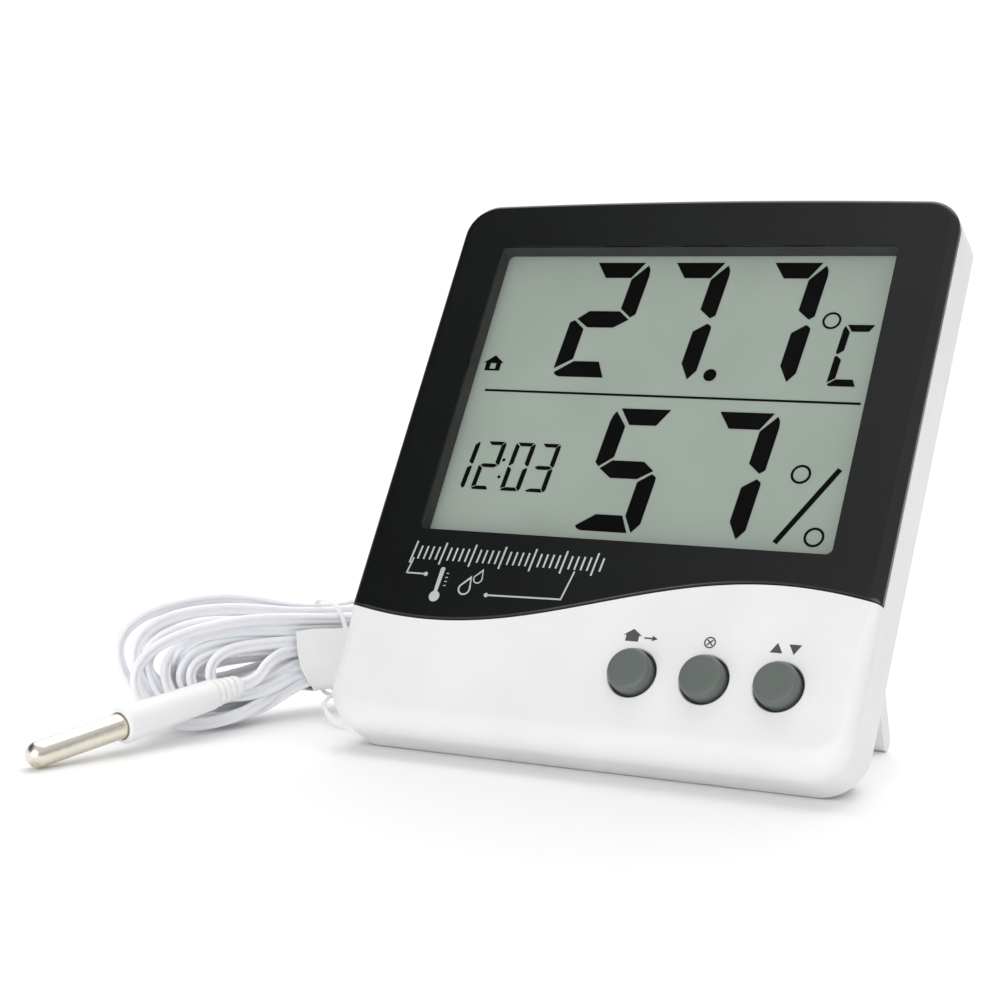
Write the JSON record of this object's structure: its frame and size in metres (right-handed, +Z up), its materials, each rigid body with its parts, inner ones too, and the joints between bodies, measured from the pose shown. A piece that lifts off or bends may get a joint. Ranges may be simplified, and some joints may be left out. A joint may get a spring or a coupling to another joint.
{
  "type": "maximum minimum thermometer",
  "caption": "Electronic maximum and minimum thermometer with humidity and clock readings, a fold-out stand, and a wired outdoor probe on a tied lead.",
  "frame": {"origin": "on the table, under the middle of the case and its open stand, without the lead and what is on it", "axes": "+X to the right as one reads the display, +Y away from the reader, +Z up; the face leans back 31 degrees"},
  "size_m": [0.1426, 0.1205, 0.0996],
  "materials": {
    "case_white": "satin white moulded case",
    "panel_black": "glossy black face panel",
    "window_clear": "clear polished window",
    "display_glass": "grey-green reflective display",
    "button_grey": "satin grey-green moulded plastic",
    "dark_plastic": "black moulded plastic",
    "board_green": "lacquered circuit board",
    "plated_steel": "nickel-plated steel",
    "probe_metal": "warm nickel-plated sleeve",
    "battery_sleeve": "plain printed sleeve",
    "lead_plastic": "soft white flexible plastic",
    "paper": "white paper and paper-covered wire"
  },
  "bodies": {
    "case": {"front_case": "case_white", "front_panel": "panel_black", "window_lens": "window_clear", "display_glass": "display_glass", "display_holder": "case_white", "contact_strip": "dark_plastic", "main_board": "board_green", "display_chip": "dark_plastic", "clock_crystal": "plated_steel", "humidity_sensor": "case_white", "air_thermistor": "dark_plastic", "in_out_switch": "dark_plastic", "clear_switch": "dark_plastic", "max_min_switch": "dark_plastic", "clock_switch": "dark_plastic", "unit_switch": "plated_steel", "rear_cover": "case_white", "battery": "battery_sleeve", "battery_plate": "plated_steel", "battery_spring": "plated_steel", "case_screw_1": "plated_steel", "case_screw_2": "plated_steel", "case_screw_3": "plated_steel", "case_screw_4": "plated_steel", "board_screw_1": "plated_steel", "board_screw_2": "plated_steel", "board_screw_3": "plated_steel", "board_screw_4": "plated_steel", "lead_grommet": "lead_plastic", "inner_lead": "lead_plastic", "probe_lead_exit": "lead_plastic", "probe_lead_hank": "lead_plastic", "hank_sleeve": "paper", "hank_tie": "paper", "probe_lead_end": "lead_plastic", "probe_boot": "lead_plastic", "probe_tip": "probe_metal"},
    "in_out_key": {"in_out_button": "button_grey", "in_out_plunger": "button_grey"},
    "clear_key": {"clear_button": "button_grey", "clear_plunger": "button_grey"},
    "max_min_key": {"max_min_button": "button_grey", "max_min_plunger": "button_grey"},
    "clock_key": {"clock_set_button": "button_grey", "clock_plunger": "button_grey"},
    "unit_slider": {"unit_switch_knob": "dark_plastic"},
    "battery_hatch": {"battery_door": "case_white"},
    "stand_bail": {"stand": "case_white"}
  },
  "joints": [
    {"name": "in_out_press", "type": "slide", "parent": "case", "child": "in_out_key", "axis": [0, 0.8572, -0.515], "range_m": [0, 0.0006], "stiffness_N_per_m": 1500},
    {"name": "clear_press", "type": "slide", "parent": "case", "child": "clear_key", "axis": [0, 0.8572, -0.515], "range_m": [0, 0.0006], "stiffness_N_per_m": 1500},
    {"name": "max_min_press", "type": "slide", "parent": "case", "child": "max_min_key", "axis": [0, 0.8572, -0.515], "range_m": [0, 0.0006], "stiffness_N_per_m": 1500},
    {"name": "clock_press", "type": "slide", "parent": "case", "child": "clock_key", "axis": [0, -0.8572, 0.515], "range_m": [0, 0.0006], "stiffness_N_per_m": 1500},
    {"name": "unit_slide", "type": "slide", "parent": "case", "child": "unit_slider", "axis": [1, 0, 0], "range_m": [0, 0.002]},
    {"name": "battery_door_hinge", "type": "hinge", "parent": "case", "child": "battery_hatch", "pos_m": [0, -0.01016, 0.01214], "axis": [-1, 0, 0], "range_deg": [0, 75]},
    {"name": "stand_hinge", "type": "hinge", "parent": "case", "child": "stand_bail", "pos_m": [0, 0.0021, 0.03546], "axis": [-1, 0, 0], "range_deg": [0, 52]}
  ]
}
